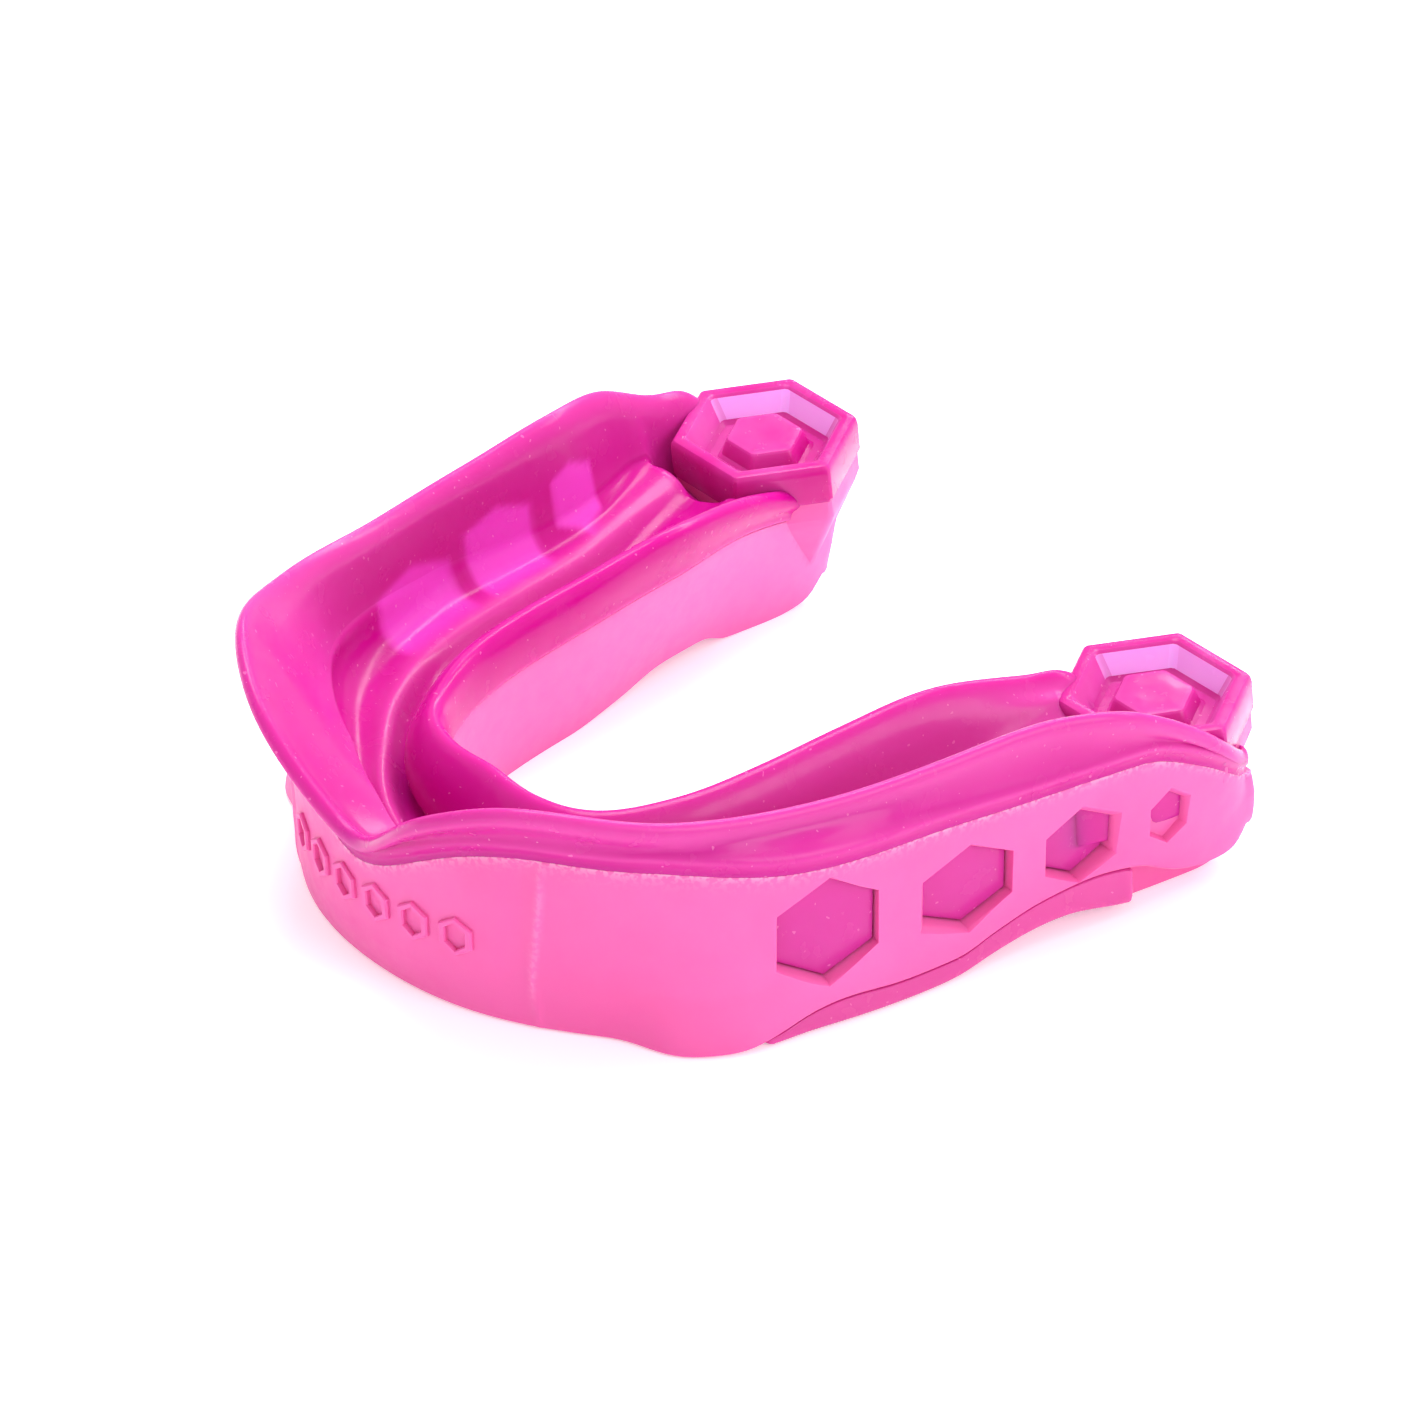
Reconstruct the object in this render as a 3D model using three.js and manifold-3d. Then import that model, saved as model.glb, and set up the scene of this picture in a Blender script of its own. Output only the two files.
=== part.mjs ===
// A two-shot mouthguard, lying with its tooth channel facing up.
// A firm shock frame carries a soft gel liner, with a hexagonal pad at the back of each arm
// and a gel bite strip under each arm.
//
// Millimetres, +Z up. The front faces -Y and the arm ends point to +Y.
// The origin is on the resting surface, under the middle of the bounding box.
// The wearer's left arm is on +X.
import * as THREE from 'three';
import { mergeVertices } from 'three/addons/utils/BufferGeometryUtils.js';
import Module from 'manifold-3d';

// ---- driving dimensions ----
const ARCH_END = 68.2; // half length of the arch, measured along its middle line
const GAP = 0.3; // clearance between two touching pieces
const STATION_STEP = 2; // spacing of the lofted sections along the arch
const FRAME_WALL = 2.0; // thickness of the frame's walls
const REAR_WALL = 0.9; // thickness of the frame's outer wall beside a molar pad
const FOOT_CHAMFER = 0.7;
const GEL_WALL = 1.5;
const GEL_FLOOR = 1.7;
const LINER_END = 57.0; // where the tooth channel meets the molar pad
const RIM_TAIL_START = 55.5; // the outer bead runs on past the channel, beside the pad
const RIM_TAIL_END = 66.2;
const REAR_FOOT_EDGE = 5.0; // how far out the rear foot reaches
const PAD = {
  x: 23.4,
  y: 26.6,
  ringTop: 14.8, // height of the ring's top at the pad's centre
  height: 5.9,
  tilt: 6.5, // degrees, rising to the rear
  ringRadius: 7.5,
  recessRadius: 6.1,
  recessFloorRadius: 4.9,
  recessDepth: 1.9,
  bossRadius: 3.1,
  bossBaseRadius: 3.8,
  bossDrop: 0.4, // how far the boss's top lies below the ring
  chamfer: 0.5,
};
const BITE = { start: 28.2, end: 56.2, ground: 0.2 };

// Middle line of one half of the arch, from the front centre to the end of the arm.
const SPINE = [
  [0, -25.9],
  [5.5, -25.1],
  [10.4, -22.8],
  [14.6, -18.8],
  [17.9, -13.4],
  [20.2, -6.8],
  [21.6, 0.2],
  [22.5, 7.4],
  [23.2, 14.6],
  [23.7, 21.9],
  [24.0, 29.4],
];

// Each edge is a list of [distance along the arch, offset outward from the middle line, height].
const GEL_RIM = [
  [0, 6.0, 12.0],
  [2.5, 7.0, 13.8],
  [7.3, 9.4, 19.1],
  [12.2, 9.7, 21.5],
  [19.7, 8.8, 19.8],
  [29.9, 7.5, 18.9],
  [38.8, 7.4, 19.3],
  [47.7, 7.5, 19.9],
  [54.6, 8.5, 19.0],
  [60.6, 8.9, 15.6],
  [63.6, 8.9, 13.2],
  [66.2, 8.4, 10.4],
];
const FRAME_TOP = [
  [0, 5.7, 9.9],
  [2, 5.7, 10.5],
  [5.5, 5.9, 12.8],
  [9.2, 6.8, 14.9],
  [12.3, 7.7, 15.8],
  [18.2, 8.8, 16.0],
  [27.3, 8.9, 14.6],
  [39.8, 7.5, 14.0],
  [48, 7.0, 13.4],
  [57, 8.3, 13.5],
  [62, 8.4, 11.6],
  [66, 7.8, 8.9],
  [68.2, 7.0, 7.8],
];
const FRAME_CREASE = [
  [0, 5.2, 3.1],
  [5, 5.5, 3.4],
  [11.5, 6.7, 4.7],
  [18, 7.9, 4.8],
  [22.5, 9.2, 4.6],
  [28, 8.9, 5.4],
  [39.5, 7.6, 8.0],
  [50, 6.6, 7.6],
  [60, 7.4, 6.6],
  [65, 7.2, 5.2],
  [68.2, 6.5, 6.4],
];
const FRAME_FOOT = [
  [0, 4.4, 0],
  [8.8, 5.3, 0],
  [17.4, 6.4, 0],
  [20.8, 8.9, 0],
  [24, 9.1, 0.2],
  [26.5, 8.8, 0.9],
  [29, 8.5, 1.8],
  [31.5, 8.3, 2.2],
  [36, 7.9, 1.9],
  [40.5, 7.3, 1.9],
  [44, 6.8, 2.7],
  [48, 6.4, 3.6],
  [53, 6.3, 4.1],
  [57, 6.5, 3.5],
  [61, 6.5, 2.0],
  [65, 6.4, 1.6],
  [67, 6.2, 2.6],
  [68.2, 5.9, 4.6],
];
const LINGUAL_CREST = [
  [0, -7.6, 13.2],
  [8, -6.6, 13.0],
  [15.4, -5.6, 13.0],
  [23, -5.8, 13.7],
  [31, -6.7, 14.5],
  [39, -7.6, 15.2],
  [46.8, -7.9, 15.8],
  [57, -6.6, 14.2],
];
const LINGUAL_TOP = [
  [0, -7.2, 9.2],
  [15, -6.0, 9.2],
  [28, -6.6, 9.8],
  [39, -7.4, 10.8],
  [47, -7.3, 11.4],
  [54, -6.2, 11.2],
  [58, -5.6, 7.6],
  [68.2, -4.8, 7.7],
];
const LINGUAL_FOOT = [
  [0, -6.3, 0],
  [15, -5.6, 0],
  [38, -5.2, 0],
  [44, -4.6, 0.4],
  [50, -3.9, 1.2],
  [55, -3.5, 1.2],
  [57.5, -3.2, 0],
  [64, -3.2, 0],
  [66.4, -3.0, 1.0],
  [68.2, -2.9, 4.0],
];
// Heights along the arch: the frame's underside, the top of its floor and the liner's floor.
const UNDERSIDE = [
  [0, 0],
  [24, 0.2],
  [26.5, 0.9],
  [29, 1.8],
  [31.5, 2.2],
  [36, 1.9],
  [40.5, 1.9],
  [44, 2.7],
  [48, 3.6],
  [53, 4.1],
  [56.5, 3.7],
  [57.3, 0],
  [64, 0],
  [66.4, 1.0],
  [68.2, 4.0],
];
const WEB_TOP = [
  [0, 4.2],
  [20, 4.6],
  [32, 6.6],
  [54, 7.0],
  [58, 7.1],
  [68.2, 7.3],
];
const CHANNEL_FLOOR = [
  [0, 6.2],
  [20, 6.6],
  [32, 8.6],
  [47, 9.2],
  [57, 12.2],
];
// Hexagonal windows in the outer wall: distance along the arch, height, half width, half height.
const WINDOWS = [
  [29.5, 8.7, 4.0, 4.5],
  [41.1, 7.9, 3.8, 3.5],
  [51.2, 7.9, 2.8, 3.0],
  [58.9, 7.9, 1.4, 2.1],
];
const WINDOW_DEPTH = { inward: 2.6, rearInward: 0.7, outward: 3 };

const COLOURS = {
  frame: 0xfb6fbe,
  liner: 0xe22a9c,
  pad: 0xf04fb4,
  bite: 0xd9489f,
};

// ---- the arch ----
const leftHalf = SPINE.slice(1).reverse().map(([x, y]) => new THREE.Vector3(-x, y, 0));
const rightHalf = SPINE.map(([x, y]) => new THREE.Vector3(x, y, 0));
const spine = new THREE.CatmullRomCurve3([...leftHalf, ...rightHalf]);
spine.arcLengthDivisions = 600;
const spineLength = spine.getLength();

// A place on the arch: s along it (negative on the wearer's right), q outward, z up.
function place(s, q, z) {
  const u = THREE.MathUtils.clamp(0.5 + s / spineLength, 0, 1);
  const tangent = spine.getTangentAt(u);
  const point = spine.getPointAt(u);
  const beyond = s - (u - 0.5) * spineLength;
  point.addScaledVector(tangent, beyond);
  return new THREE.Vector3(point.x + tangent.y * q, point.y - tangent.x * q, z);
}

// A smooth curve through rows of [s, value...], without overshoot and the same on both arms.
function smooth(rows, column) {
  const slopes = rows.slice(1).map((row, i) => (row[column] - rows[i][column]) / (row[0] - rows[i][0]));
  const tangents = rows.map((row, i) => {
    if (i === 0) return 0;
    if (i === rows.length - 1) return slopes[i - 1];
    const [before, after] = [slopes[i - 1], slopes[i]];
    return before * after <= 0 ? 0 : (2 * before * after) / (before + after);
  });
  return (s) => {
    const along = Math.min(Math.abs(s), rows.at(-1)[0]);
    const next = Math.max(1, rows.findIndex((row) => row[0] >= along));
    const [from, to] = [rows[next - 1], rows[next]];
    const width = to[0] - from[0];
    const t = (along - from[0]) / width;
    const rest = 1 - t;
    return (
      (1 + 2 * t) * rest * rest * from[column] +
      t * rest * rest * width * tangents[next - 1] +
      t * t * (3 - 2 * t) * to[column] -
      t * t * rest * width * tangents[next]
    );
  };
}

const edge = (rows) => ({ q: smooth(rows, 1), z: smooth(rows, 2) });
const gelRim = edge(GEL_RIM);
const frameTop = edge(FRAME_TOP);
const frameCrease = edge(FRAME_CREASE);
const frameFoot = edge(FRAME_FOOT);
const lingualCrest = edge(LINGUAL_CREST);
const lingualTop = edge(LINGUAL_TOP);
const lingualFoot = edge(LINGUAL_FOOT);
const underside = smooth(UNDERSIDE, 1);
const webTop = smooth(WEB_TOP, 1);
const channelFloor = smooth(CHANNEL_FLOOR, 1);
const outerWall = smooth([[0, FRAME_WALL], [50, FRAME_WALL], [56, REAR_WALL], [71, REAR_WALL]], 1);

// ---- sections: closed outlines of [q, z], walked from the outer foot up and over ----
function frameSection(s) {
  const [topQ, topZ] = [frameTop.q(s), frameTop.z(s)];
  const [footQ, footZ] = [frameFoot.q(s), frameFoot.z(s)];
  const [tongueQ, tongueZ] = [lingualTop.q(s), lingualTop.z(s)];
  const [heelQ, heelZ] = [lingualFoot.q(s), lingualFoot.z(s)];
  const wall = outerWall(s);
  const web = Math.min(webTop(s), topZ - 0.5, tongueZ - 0.5);
  const fillet = Math.min(1.0, (topZ - web) * 0.4, (tongueZ - web) * 0.4);
  const under = Math.min(underside(s), footZ);
  const stepQ = Math.min(REAR_FOOT_EDGE, footQ - FOOT_CHAMFER - 0.6);
  return [
    [footQ - FOOT_CHAMFER, footZ],
    [footQ, footZ + FOOT_CHAMFER],
    [frameCrease.q(s), Math.max(frameCrease.z(s), footZ + FOOT_CHAMFER + 0.2)],
    [topQ, topZ - 0.35],
    [topQ - 0.3, topZ],
    [topQ - wall + 0.15, topZ],
    [topQ - wall, topZ - 0.2],
    [topQ - wall - 0.2, web + fillet],
    [topQ - wall - 1.0, web],
    [tongueQ + FRAME_WALL + 1.0, web],
    [tongueQ + FRAME_WALL, web + fillet],
    [tongueQ + FRAME_WALL - 0.2, tongueZ - 0.15],
    [tongueQ + FRAME_WALL - 0.5, tongueZ],
    [tongueQ + 0.3, tongueZ],
    [tongueQ, tongueZ - 0.3],
    [heelQ, heelZ + FOOT_CHAMFER],
    [heelQ + 0.5, heelZ],
    [heelQ + FRAME_WALL, heelZ],
    [heelQ + FRAME_WALL + 0.2, under],
    [stepQ - 0.2, under],
    [stepQ, footZ],
  ];
}

// The bead along the outer rim, from the frame's top edge over to the channel's inner wall.
function rimBead(s) {
  const [rimQ, rimZ] = [gelRim.q(s), gelRim.z(s)];
  const [topQ, topZ] = [frameTop.q(s), frameTop.z(s)];
  const rise = rimZ - topZ;
  return [
    [topQ - 0.2, topZ + GAP],
    [rimQ * 0.6 + topQ * 0.4 + 0.3, topZ + GAP + rise * 0.3],
    [rimQ + 0.3, topZ + GAP + rise * 0.62],
    [rimQ - 0.1, rimZ - 0.35],
    [rimQ - 0.6, rimZ],
    [rimQ - 1.3, rimZ - 0.2],
  ];
}

function linerSection(s) {
  const [rimQ, rimZ] = [gelRim.q(s), gelRim.z(s)];
  const [topQ, topZ] = [frameTop.q(s), frameTop.z(s)];
  const [crestQ, crestZ] = [lingualCrest.q(s), lingualCrest.z(s)];
  const [tongueQ, tongueZ] = [lingualTop.q(s), lingualTop.z(s)];
  const base = webTop(s) + GAP;
  const floor = Math.max(channelFloor(s), base + GEL_FLOOR);
  const seatQ = topQ - outerWall(s) - GAP;
  const seatTongueQ = tongueQ + FRAME_WALL + GAP;
  return [
    [seatQ - 1.0, base],
    [seatQ - 0.2, base + 1.1],
    [seatQ, topZ + GAP],
    ...rimBead(s),
    [rimQ - 1.9, rimZ - 1.6],
    [seatQ - GEL_WALL * 0.7, Math.max(topZ - 0.4, floor + 2.4)],
    [seatQ - GEL_WALL - 0.2, floor + 1.4],
    [seatQ - GEL_WALL - 1.1, floor],
    [seatTongueQ + GEL_WALL + 0.7, floor],
    [seatTongueQ + GEL_WALL, floor + 0.9],
    [crestQ + 2.6, (floor + crestZ) / 2 + 0.6],
    [crestQ + 1.5, crestZ - 0.5],
    [crestQ + 0.6, crestZ],
    [crestQ - 0.3, crestZ - 0.4],
    [crestQ - 0.7, crestZ - 1.3],
    [tongueQ + 0.2, tongueZ + GAP],
    [seatTongueQ - 0.2, tongueZ + GAP],
    [seatTongueQ, tongueZ - 0.5],
    [seatTongueQ, base + 1.1],
    [seatTongueQ + 1.0, base],
  ];
}

function rimTailSection(s) {
  const topZ = frameTop.z(s);
  const innerQ = gelRim.q(s) - 1.7;
  return [...rimBead(s), [innerQ, gelRim.z(s) - 0.9], [innerQ, topZ + GAP]];
}

function biteSection(s) {
  const roof = Math.min(frameFoot.z(s), underside(s)) - GAP;
  const outer = frameFoot.q(s);
  const inner = lingualFoot.q(s) + FRAME_WALL + 0.6;
  return [
    [outer - 0.9, BITE.ground],
    [outer - 0.1, BITE.ground + (roof - BITE.ground) * 0.5],
    [outer - 0.4, roof],
    [inner, roof],
    [inner, BITE.ground],
  ];
}

// ---- building solids ----
function stationsBetween(start, end, extra = []) {
  const count = Math.ceil((end - start) / STATION_STEP);
  const even = Array.from({ length: count + 1 }, (_, i) => start + ((end - start) * i) / count);
  const all = [...even, ...extra].sort((a, b) => a - b);
  return all.filter((s, i) => i === 0 || s - all[i - 1] > 0.2);
}

// Joins the section at each station to the next and closes both ends.
function loft(section, stations) {
  const rings = stations.map((s) => section(s).map(([q, z]) => place(s, q, z)));
  const size = rings[0].length;
  const positions = rings.flat().flatMap((point) => point.toArray());
  const index = [];
  for (let i = 0; i < rings.length - 1; i += 1) {
    for (let j = 0; j < size; j += 1) {
      const [a, b] = [i * size + j, i * size + ((j + 1) % size)];
      index.push(a, a + size, b, b, a + size, b + size);
    }
  }
  [0, rings.length - 1].forEach((ring) => {
    const outline = section(stations[ring]).map(([q, z]) => new THREE.Vector2(q, z));
    THREE.ShapeUtils.triangulateShape(outline, []).forEach(([a, b, c]) => {
      const corners = ring === 0 ? [a, b, c] : [a, c, b];
      index.push(...corners.map((corner) => ring * size + corner));
    });
  });
  const geometry = new THREE.BufferGeometry();
  geometry.setAttribute('position', new THREE.Float32BufferAttribute(positions, 3));
  geometry.setIndex(index);
  return geometry;
}

const wasm = await Module();
wasm.setup();

function solid(geometry) {
  const bare = geometry.clone();
  bare.deleteAttribute('normal');
  bare.deleteAttribute('uv');
  const merged = mergeVertices(bare, 1e-4);
  return new wasm.Manifold(
    new wasm.Mesh({
      numProp: 3,
      vertProperties: new Float32Array(merged.attributes.position.array),
      triVerts: new Uint32Array(merged.index.array),
    }),
  );
}

function toGeometry(manifold) {
  const mesh = manifold.getMesh();
  const geometry = new THREE.BufferGeometry();
  geometry.setAttribute('position', new THREE.BufferAttribute(new Float32Array(mesh.vertProperties), 3));
  geometry.setIndex(new THREE.BufferAttribute(new Uint32Array(mesh.triVerts), 1));
  return geometry;
}

// A window's cutter: a hexagon with upright sides, pushed through the wall along its normal.
function windowCutter([s, z, halfWidth, halfHeight], side) {
  const outline = [
    [0, halfHeight],
    [-halfWidth, halfHeight * 0.5],
    [-halfWidth, -halfHeight * 0.5],
    [0, -halfHeight],
    [halfWidth, -halfHeight * 0.5],
    [halfWidth, halfHeight * 0.5],
  ];
  const shape = new THREE.Shape(outline.map(([x, y]) => new THREE.Vector2(x, y)));
  const inward = s > LINER_END ? WINDOW_DEPTH.rearInward : WINDOW_DEPTH.inward;
  const depth = inward + WINDOW_DEPTH.outward;
  const geometry = new THREE.ExtrudeGeometry(shape, { depth, bevelEnabled: false });
  const along = side * s;
  const start = place(along, frameTop.q(s) - inward, z);
  const outward = place(along, 1, 0).sub(place(along, 0, 0)).normalize();
  const up = new THREE.Vector3(0, 0, 1);
  const across = new THREE.Vector3().crossVectors(up, outward);
  geometry.applyMatrix4(new THREE.Matrix4().makeBasis(across, up, outward).setPosition(start));
  return geometry;
}

// A pad: six-sided, with a raised ring, a sunk floor and a hexagonal boss in the middle.
function padGeometry() {
  const floor = -PAD.recessDepth;
  const profile = [
    [0, -PAD.height],
    [PAD.ringRadius, -PAD.height],
    [PAD.ringRadius, -PAD.chamfer],
    [PAD.ringRadius - PAD.chamfer, 0],
    [PAD.recessRadius, 0],
    [PAD.recessFloorRadius, floor],
    [PAD.bossBaseRadius, floor],
    [PAD.bossRadius, -PAD.bossDrop],
    [0, -PAD.bossDrop],
  ].map(([radius, height]) => new THREE.Vector2(radius, height));
  const geometry = new THREE.LatheGeometry(profile, 6, Math.PI / 2);
  geometry.rotateX(Math.PI / 2);
  return geometry;
}

function padMatrix(side) {
  const tilt = THREE.MathUtils.degToRad(PAD.tilt);
  const rotation = new THREE.Matrix4().makeRotationX(tilt);
  return rotation.setPosition(side * PAD.x, PAD.y, PAD.ringTop);
}

// The room that the liner leaves free for a pad.
function padRoom(side) {
  const radius = PAD.ringRadius + GAP;
  const geometry = new THREE.CylinderGeometry(radius, radius, 20, 6, 1, false, Math.PI / 2);
  geometry.rotateX(Math.PI / 2);
  return geometry.applyMatrix4(padMatrix(side));
}

// ---- pieces ----
function mesh(name, geometry, colour, roughness) {
  const shaded = geometry.index ? geometry.toNonIndexed() : geometry;
  shaded.deleteAttribute('normal');
  shaded.deleteAttribute('uv');
  shaded.computeVertexNormals();
  const material = new THREE.MeshStandardMaterial({ color: colour, roughness, metalness: 0 });
  const piece = new THREE.Mesh(shaded, material);
  piece.name = name;
  return piece;
}

function shockFrame() {
  const steps = [2, 20.8, 24, 56.5, 57.3, 58.2];
  const stations = stationsBetween(-ARCH_END, ARCH_END, [...steps, ...steps.map((s) => -s)]);
  let body = solid(loft(frameSection, stations));
  for (const side of [-1, 1]) {
    for (const window of WINDOWS) {
      body = body.subtract(solid(windowCutter(window, side)));
    }
  }
  return mesh('shock_frame', toGeometry(body), COLOURS.frame, 0.55);
}

function gelLiner() {
  let body = solid(loft(linerSection, stationsBetween(-LINER_END, LINER_END)));
  for (const side of [-1, 1]) {
    const ends = [side * RIM_TAIL_START, side * RIM_TAIL_END].sort((a, b) => a - b);
    body = body.add(solid(loft(rimTailSection, stationsBetween(...ends))));
    body = body.subtract(solid(padRoom(side)));
  }
  return mesh('gel_liner', toGeometry(body), COLOURS.liner, 0.2);
}

function molarPad(name, side) {
  const piece = mesh(name, padGeometry(), COLOURS.pad, 0.2);
  piece.applyMatrix4(padMatrix(side));
  return piece;
}

function biteStrip(name, side) {
  const ends = [side * BITE.start, side * BITE.end].sort((a, b) => a - b);
  return mesh(name, loft(biteSection, stationsBetween(...ends)), COLOURS.bite, 0.35);
}

const mouthguard = new THREE.Group();
mouthguard.add(shockFrame());
mouthguard.add(gelLiner());
mouthguard.add(molarPad('left_molar_pad', 1));
mouthguard.add(molarPad('right_molar_pad', -1));
mouthguard.add(biteStrip('left_bite_strip', 1));
mouthguard.add(biteStrip('right_bite_strip', -1));

export default mouthguard;
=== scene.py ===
import math

import bmesh
import bpy
import numpy as np
from mathutils import Matrix, Vector


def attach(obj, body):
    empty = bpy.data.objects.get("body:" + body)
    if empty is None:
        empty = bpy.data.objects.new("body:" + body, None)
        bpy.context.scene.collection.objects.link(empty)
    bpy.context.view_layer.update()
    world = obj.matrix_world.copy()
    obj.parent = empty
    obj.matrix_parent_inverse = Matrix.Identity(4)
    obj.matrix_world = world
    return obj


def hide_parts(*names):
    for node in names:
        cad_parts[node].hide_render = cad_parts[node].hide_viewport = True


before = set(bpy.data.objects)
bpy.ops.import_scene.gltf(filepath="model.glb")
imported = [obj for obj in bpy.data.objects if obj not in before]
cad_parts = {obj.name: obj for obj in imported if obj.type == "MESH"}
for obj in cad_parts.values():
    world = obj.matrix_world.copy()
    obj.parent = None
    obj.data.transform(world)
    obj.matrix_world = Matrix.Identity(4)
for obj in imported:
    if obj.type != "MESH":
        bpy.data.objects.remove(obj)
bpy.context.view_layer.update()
MM = 0.001

# ---------------------------------------------------------------- driving dimensions, in mm
ARCH_END = 67.8
LINER_END = 66.6
STRIP_ENDS = (26.0, 56.2)
STATION_STEP = 0.5
SMALLEST_STEP = 0.08
SAMPLES_PER_SPAN = 4
FRAME_WALL = 1.5
GEL_WALL = 1.5
# The middle of each pad's ring: 1 is the left arm and -1 the right. The arms differ a little.
PADS = {1: (23.8, 26.3, 14.2), -1: (24.7, 27.8, 15.0)}
PAD_TILT = 6.5
PAD_STRETCH = 1.11  # the pads are wider across the arm than along it
# The pads' recess bevel is painted palest on the side towards this direction: a painted reflection.
PALE_FACETS = 126  # the direction, in degrees round a pad, of its recess's palest bevel
# Where one arm stands higher than the other: (height added, signed distance, spread).
RIGHT_RIM_RISE = (2.3, -64, 3.2)
LEFT_CREST_RISE = (0.6, 59, 2)
# Six-sided stacks: (radius, height from the pad's ring, tone). The tone of 1 on the recess's bevel is a
# painted reflection.
PAD_LEVELS = [
    (6.6, -3.65, 0.05), (7.35, -3.4, 0.05), (7.5, -3.1, 0.05), (7.5, -0.8, 0.04), (7.42, -0.35, 0.04),
    (7.2, -0.08, 0.05), (6.8, 0.02, 0.02), (6.3, -0.04, 0.02), (6.0, -0.25, 0.1), (5.1, -1.85, 1.0),
    (4.7, -2.15, 0.06), (3.95, -2.15, 0.05), (3.6, -1.95, 0.0), (3.2, -0.8, 0.0),
    (3.05, -0.62, 0.05), (2.7, -0.55, 0.04), (1.2, -0.62, 0.02),
]
SOCKET_LEVELS = [(4.4, -11.0, 0), (5.6, -8.6, 0), (6.9, -6.0, 0), (7.3, -5.0, 0), (7.3, -3.4, 0)]
# The row of raised rings on the front band.
EMBLEM_SPOTS = (-7.5, -4.5, -1.5, 1.5, 4.5, 7.5)
EMBLEM_HEIGHT = 7.0
EMBLEM_HALF_W, EMBLEM_HALF_H = 1.1, 1.7

# Middle line of one half of the arch, from the front centre to the end of the arm.
SPINE = [
    (0, -25.9), (5.5, -25.1), (10.4, -22.8), (14.6, -18.8), (17.9, -13.4), (20.2, -6.8),
    (21.6, 0.2), (22.5, 7.4), (23.2, 14.6), (23.7, 21.9), (24.0, 29.4),
]
# Edges along the arch: (distance from the front centre, offset outward, height).
GEL_RIM = [
    (0, 6.0, 11.6), (2.5, 7.0, 13.6), (7.3, 9.4, 19.1), (12.2, 9.7, 21.5), (19.7, 8.8, 19.8),
    (29.9, 7.5, 18.9), (38.8, 7.4, 19.3), (47.7, 7.7, 19.9), (53.5, 8.7, 19.4), (57, 9.0, 17.9),
    (60.6, 9.0, 15.6), (63.6, 8.9, 13.2), (66.2, 7.8, 10.8), (68, 6.6, 9.4),
]
FRAME_TOP = [
    (0, 5.5, 9.9), (2, 5.5, 10.5), (5.5, 5.5, 12.8), (9.2, 5.8, 14.8), (12.3, 6.2, 15.5),
    (18.2, 7.8, 15.7), (27.3, 8.9, 14.6), (39.8, 7.5, 14.0), (48, 7.2, 13.6), (56.3, 7.8, 13.8),
    (61.6, 8.0, 11.8), (66, 7.4, 8.9), (67.2, 6.6, 8.2), (68.2, 5.2, 7.2),
]
FRAME_CREASE = [
    (0, 5.0, 3.1), (5, 5.1, 3.4), (11.5, 5.3, 4.7), (18, 7.0, 4.8), (22.5, 8.7, 4.6),
    (28, 8.9, 5.4), (39.5, 7.6, 6.4), (50, 6.9, 7.0), (60, 7.5, 6.0), (65, 7.2, 5.2),
    (68.2, 6.2, 6.2),
]
FRAME_FOOT = [
    (0, 4.2, 0), (8.8, 4.7, 0), (17.0, 6.1, 0), (20.8, 9.2, 0), (24, 9.6, 0.1), (26.5, 9.0, 0.8),
    (29, 8.5, 1.8), (31.5, 8.3, 2.2), (36, 7.9, 1.9), (40.5, 7.4, 1.9), (44, 7.0, 2.8),
    (48, 6.9, 3.9), (53, 7.0, 4.5), (57, 7.1, 4.0), (60, 7.1, 2.5), (62, 7.0, 1.9), (64.5, 6.8, 1.6),
    (66.5, 6.8, 2.0), (68.2, 6.0, 3.8),
]
LINGUAL_CREST = [
    (0, -7.6, 13.2), (8, -6.6, 13.0), (15.4, -5.6, 13.0), (23, -5.8, 13.7), (31, -6.7, 14.5),
    (39, -7.6, 15.2), (46.8, -7.9, 15.8), (55, -7.0, 14.9), (62, -5.8, 12.8), (68, -5.0, 10.6),
]
LINGUAL_TOP = [
    (0, -7.2, 9.2), (15, -6.0, 9.2), (28, -6.6, 9.9), (39, -7.4, 10.8), (47, -7.3, 11.2),
    (54, -6.4, 11.2), (60, -5.4, 10.4), (66, -4.8, 9.0), (68.2, -4.5, 8.4),
]
LINGUAL_FOOT = [
    (0, -6.3, 0), (15, -5.6, 0), (38, -5.2, 0), (44, -4.6, 0.4), (50, -3.9, 1.2), (55, -3.5, 1.2),
    (57.5, -3.2, 0.1), (63, -3.4, 0), (66.4, -3.4, 0.5), (68.2, -3.4, 3.0),
]
# The channel's inside: the ledge at the foot of the outer wall, and the rib beside the floor.
LEDGE = [
    (0, 1.4, 10.6), (4, 0.7, 11.4), (10, 0.9, 12.4), (14, 2.2, 12.9), (18, 3.8, 13.2),
    (22, 5.3, 13.2), (27, 5.6, 13.0), (34, 5.6, 12.6), (45, 5.5, 12.6), (56, 5.8, 13.6),
    (67, 5.8, 11.5),
]
RIB = [
    (0, -1.1, 7.6), (10, -1.2, 8.0), (16, -0.8, 8.5), (22, 0.5, 9.0), (30, 1.6, 9.5),
    (45, 1.6, 10.2), (54, 2.6, 11.6), (60, 3.0, 13.0),
]
# Heights along the arch: (distance, height).
UNDERSIDE = [
    (0, 0), (24, 0.2), (26.5, 0.9), (29, 1.8), (31.5, 2.2), (36, 1.9), (40.5, 1.9), (44, 2.8),
    (48, 3.9), (53, 4.5), (56.4, 4.1), (57.2, 0.1), (64, 0), (66.6, 0.6), (68.2, 3.0),
]
WEB_TOP = [(0, 4.2), (20, 4.6), (32, 6.6), (54, 7.0), (58, 7.1), (68.2, 7.1)]
CHANNEL_FLOOR = [(0, 6.3), (20, 6.8), (32, 8.3), (47, 9.0), (53, 10.4), (60, 12.4)]
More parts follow.
